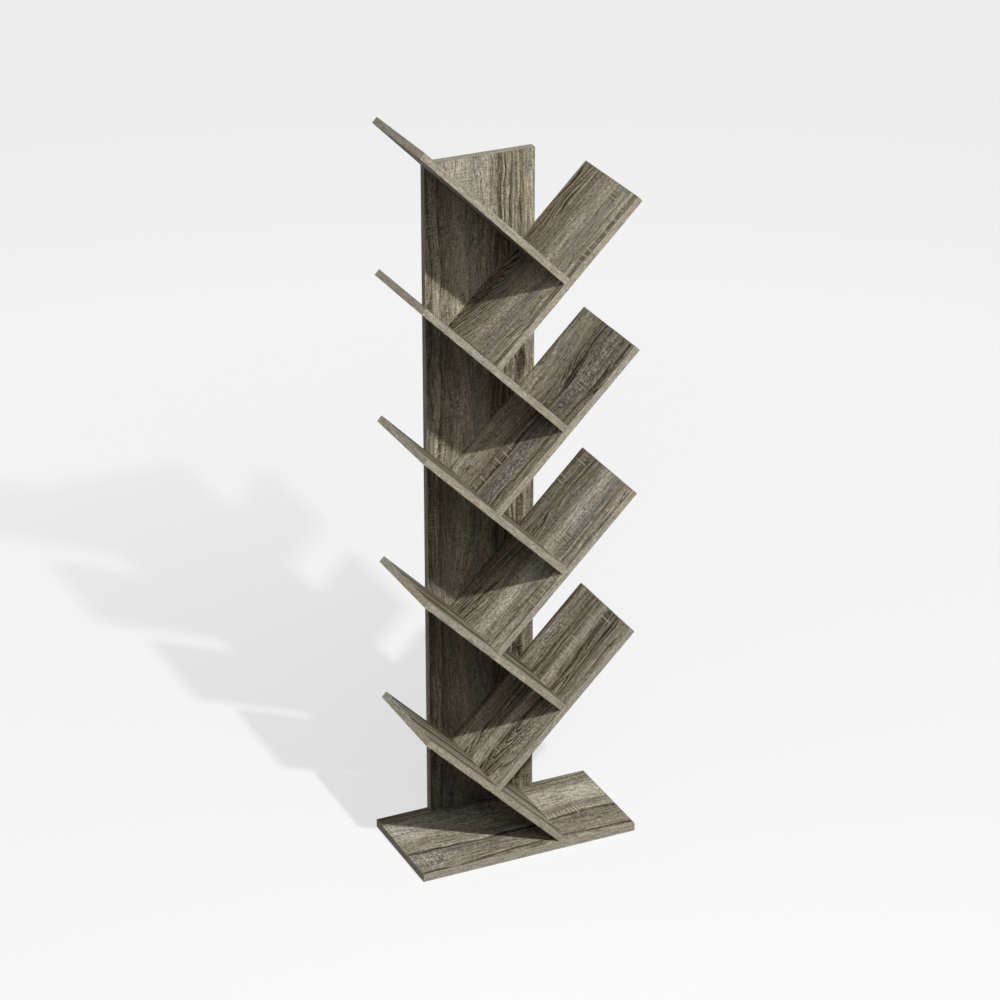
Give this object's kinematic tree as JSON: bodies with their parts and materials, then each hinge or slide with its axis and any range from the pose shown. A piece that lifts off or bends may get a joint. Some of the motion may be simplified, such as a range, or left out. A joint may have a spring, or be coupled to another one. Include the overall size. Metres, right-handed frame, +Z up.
{
  "type": "tree shaped bookshelf",
  "caption": "Freestanding bookshelf shaped like a tree: slanted shelf boards zigzag up a tall trunk board that stands at the back of a flat base.",
  "frame": {"origin": "middle of the base's underside, which is the floor", "axes": "+Z up, the front faces -Y and +X is to the right seen from the front"},
  "size_m": [0.433, 0.2182, 1.4055],
  "materials": {
    "oak_laminate": "weathered grey-brown oak print with a fine matt grain texture, edges banded in a plainer tone",
    "zinc_steel": "zinc plated, satin",
    "beech": "bare, fine grained"
  },
  "bodies": {
    "root": {"base": "oak_laminate", "trunk": "oak_laminate", "branch_1_left": "oak_laminate", "branch_2_right": "oak_laminate", "branch_3_left": "oak_laminate", "branch_4_right": "oak_laminate", "branch_5_left": "oak_laminate", "branch_6_right": "oak_laminate", "branch_7_left": "oak_laminate", "branch_8_right": "oak_laminate", "branch_9_left": "oak_laminate", "trunk_screw_1_lower": "zinc_steel", "trunk_screw_1_upper": "zinc_steel", "trunk_screw_2_lower": "zinc_steel", "trunk_screw_2_upper": "zinc_steel", "trunk_screw_3_lower": "zinc_steel", "trunk_screw_3_upper": "zinc_steel", "trunk_screw_4_lower": "zinc_steel", "trunk_screw_4_upper": "zinc_steel", "trunk_screw_5_lower": "zinc_steel", "trunk_screw_5_upper": "zinc_steel", "trunk_screw_6_lower": "zinc_steel", "trunk_screw_6_upper": "zinc_steel", "trunk_screw_7_lower": "zinc_steel", "trunk_screw_7_upper": "zinc_steel", "trunk_screw_8_lower": "zinc_steel", "trunk_screw_8_upper": "zinc_steel", "trunk_screw_9_lower": "zinc_steel", "trunk_screw_9_upper": "zinc_steel", "joint_screw_2_front": "zinc_steel", "joint_screw_2_back": "zinc_steel", "joint_screw_3_front": "zinc_steel", "joint_screw_3_back": "zinc_steel", "joint_screw_4_front": "zinc_steel", "joint_screw_4_back": "zinc_steel", "joint_screw_5_front": "zinc_steel", "joint_screw_5_back": "zinc_steel", "joint_screw_6_front": "zinc_steel", "joint_screw_6_back": "zinc_steel", "joint_screw_7_front": "zinc_steel", "joint_screw_7_back": "zinc_steel", "joint_screw_8_front": "zinc_steel", "joint_screw_8_back": "zinc_steel", "joint_screw_9_front": "zinc_steel", "joint_screw_9_back": "zinc_steel", "base_screw_left": "zinc_steel", "base_screw_middle": "zinc_steel", "base_screw_right": "zinc_steel", "trunk_dowel_1": "beech", "trunk_dowel_2": "beech", "trunk_dowel_3": "beech", "trunk_dowel_4": "beech", "trunk_dowel_5": "beech", "trunk_dowel_6": "beech", "trunk_dowel_7": "beech", "trunk_dowel_8": "beech", "trunk_dowel_9": "beech", "base_dowel_left": "beech", "base_dowel_right": "beech"}
  },
  "joints": []
}
